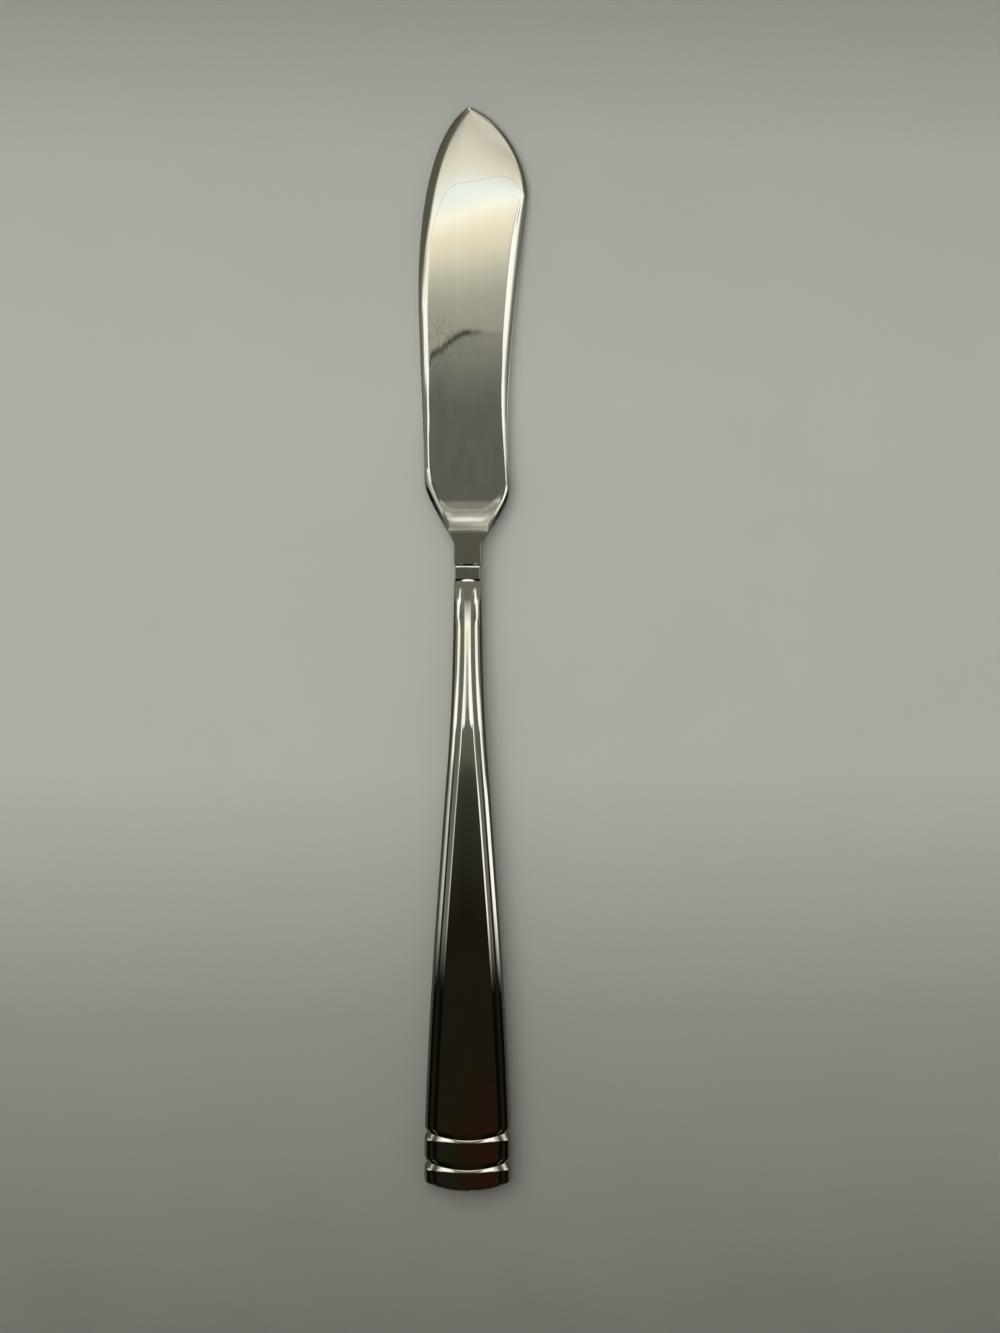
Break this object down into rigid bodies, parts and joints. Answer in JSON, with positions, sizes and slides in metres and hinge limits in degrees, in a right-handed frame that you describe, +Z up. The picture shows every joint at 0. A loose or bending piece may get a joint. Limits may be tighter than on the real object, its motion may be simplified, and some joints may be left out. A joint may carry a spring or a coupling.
{
  "type": "butter knife",
  "caption": "Polished steel butter knife with a humped spreading blade, a slim neck band and a flared hollow handle.",
  "frame": {"origin": "on the surface the knife lies on, under the middle of its bounding box", "axes": "+Y along the knife to the blade's tip, +Z up out of the handle's front, +X towards the humped back of the blade"},
  "size_m": [0.0176, 0.175, 0.0061],
  "materials": {
    "blade_steel": "polished, with faint lengthwise brushing",
    "band_steel": "polished",
    "handle_steel": "mirror polished",
    "braze": "filed flush and polished",
    "cement": "cast resin filler"
  },
  "bodies": {
    "root": {"blade": "blade_steel", "neck_collar": "band_steel", "handle_front_shell": "handle_steel", "handle_back_shell": "handle_steel", "seam_braze": "braze", "tang_cement": "cement"}
  },
  "joints": []
}
